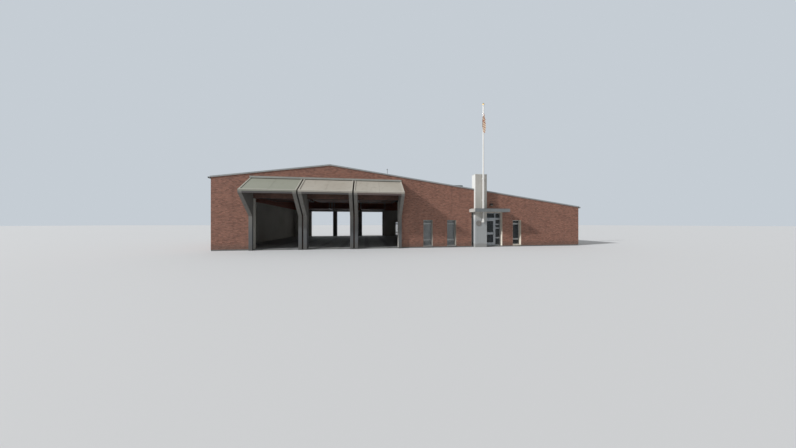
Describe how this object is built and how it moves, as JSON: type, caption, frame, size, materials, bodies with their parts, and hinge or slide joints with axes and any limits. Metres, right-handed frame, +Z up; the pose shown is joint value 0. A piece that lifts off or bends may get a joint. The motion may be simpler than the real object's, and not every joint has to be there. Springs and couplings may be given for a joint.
{
  "type": "fire station building",
  "caption": "Brick fire station with drive-through vehicle bays under raked hoods, a tall entrance pylon with a flagpole, a flat canopy and a swinging glass door.",
  "frame": {"origin": "middle of the rectangular footprint, on the underside of the floor slab", "axes": "+X along the front to the right as seen from outside, +Y from front to rear, +Z up"},
  "size_m": [33.5566, 21.61, 13.1837],
  "materials": {
    "concrete": "broom-finished concrete",
    "brick": "red-brown brick in running bond, grey mortar",
    "roof_sheet": "pale grey standing-seam sheet",
    "roof_trim_metal": "light grey painted sheet",
    "hood_cladding": "beige-grey smooth cladding, weathered",
    "flashing_metal": "blue-grey painted sheet",
    "door_panel": "brown-red sectional door panels",
    "galvanised_steel": "galvanised",
    "window_metal": "anodised, satin",
    "glazing": "dark tinted",
    "sill_stone": "cast stone",
    "blind_slats": "off-white slats",
    "pylon_cladding": "pale grey panels",
    "disc_metal": "satin grey plate, blank",
    "entry_metal": "anodised grey",
    "hinge_steel": "brushed",
    "canopy_metal": "grey painted sheet",
    "pole_paint": "white enamel",
    "flag_cloth": "red and white stripes, limp",
    "unit_metal": "grey-green painted sheet",
    "lamp_housing": "dark bronze"
  },
  "bodies": {
    "building": {"floor_slab": "concrete", "front_wall_left": "brick", "front_wall_gable": "brick", "front_wall_center": "brick", "front_wall_entry_head": "brick", "front_wall_right": "brick", "bay_piers": "brick", "left_wall": "brick", "right_wall": "brick", "rear_wall_left": "brick", "rear_wall_gable": "brick", "rear_wall_right": "brick", "roof_left": "roof_sheet", "roof_right": "roof_sheet", "ridge_cap": "roof_trim_metal", "roof_trim": "roof_trim_metal", "gutters": "roof_trim_metal", "downpipes": "roof_trim_metal", "bay_fins": "hood_cladding", "hood_panels": "hood_cladding", "hood_lip_beams": "hood_cladding", "hood_flashing": "flashing_metal", "bay_doors": "door_panel", "door_tracks": "galvanised_steel", "window_frames": "window_metal", "window_glass": "glazing", "window_sills": "sill_stone", "window_blinds": "blind_slats", "entry_pylon": "pylon_cladding", "pylon_disc": "disc_metal", "entry_frame": "entry_metal", "entry_glass": "glazing", "entry_frame_hinges": "hinge_steel", "entry_canopy": "canopy_metal", "flagpole": "pole_paint", "flagpole_brackets": "pole_paint", "flag": "flag_cloth", "flag_clips": "hinge_steel", "roof_unit": "unit_metal", "roof_vent": "galvanised_steel", "wall_light": "lamp_housing"},
    "entrance_leaf": {"entry_door": "entry_metal", "entry_door_glass": "glazing", "entry_door_hinges": "hinge_steel", "entry_door_pull": "hinge_steel"}
  },
  "joints": [
    {"name": "entrance_door_hinge", "type": "hinge", "parent": "building", "child": "entrance_leaf", "pos_m": [6.7225, -9.613, 1.3325], "axis": [0, 0, -1], "range_deg": [0, 90]}
  ]
}
